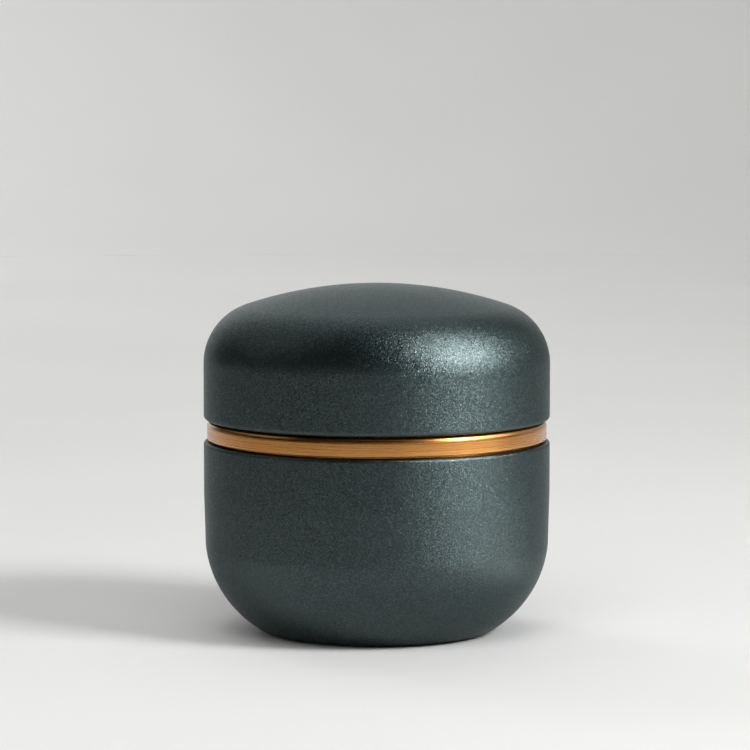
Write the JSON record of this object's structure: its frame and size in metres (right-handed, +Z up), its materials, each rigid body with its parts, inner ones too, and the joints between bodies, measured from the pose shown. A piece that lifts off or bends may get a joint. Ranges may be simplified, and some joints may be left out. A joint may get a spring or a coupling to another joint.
{
  "type": "inkwell",
  "caption": "Round lidded inkwell: dark powder-coated pot and dome lid with a brass neck band, a lift-out glass ink cup and a weighted foot.",
  "frame": {"origin": "centre of the foot pad's lower face, which the inkwell stands on", "axes": "+Z up along the inkwell's axis of revolution; the section is round, so X and Y are free and one base screw lies on +Y"},
  "size_m": [0.064, 0.064, 0.0645],
  "materials": {
    "powder_coat": "satin metallic powder coat with a fine grain, dark grey green",
    "satin_brass": "satin turned, lacquered",
    "clear_glass": "clear, polished",
    "zinc_steel": "zinc plated, turned",
    "black_rubber": "matt",
    "pale_silicone": "soft matt, slightly translucent",
    "black_plastic": "fine moulded texture"
  },
  "bodies": {
    "base": {"body_shell": "powder_coat", "neck_collar": "satin_brass", "neck_o_ring": "black_rubber", "ballast_disc": "zinc_steel", "cup_cushion": "pale_silicone", "foot_pad": "black_rubber", "base_screw_1": "zinc_steel", "base_screw_2": "zinc_steel", "base_screw_3": "zinc_steel"},
    "cup": {"ink_cup": "clear_glass", "cup_gasket": "pale_silicone"},
    "seal": {"lid_seal": "pale_silicone"},
    "lid": {"lid_shell": "powder_coat", "lid_liner": "black_plastic"}
  },
  "joints": [
    {"name": "cup_lift", "type": "slide", "parent": "base", "child": "cup", "axis": [0, 0, 1], "range_m": [0, 0.044]},
    {"name": "lid_lift", "type": "slide", "parent": "cup", "child": "seal", "axis": [0, 0, 1], "range_m": [0, 0.06]},
    {"name": "lid_turn", "type": "hinge", "parent": "seal", "child": "lid", "pos_m": [0, 0, 0.05], "axis": [0, 0, 1], "continuous": true}
  ]
}
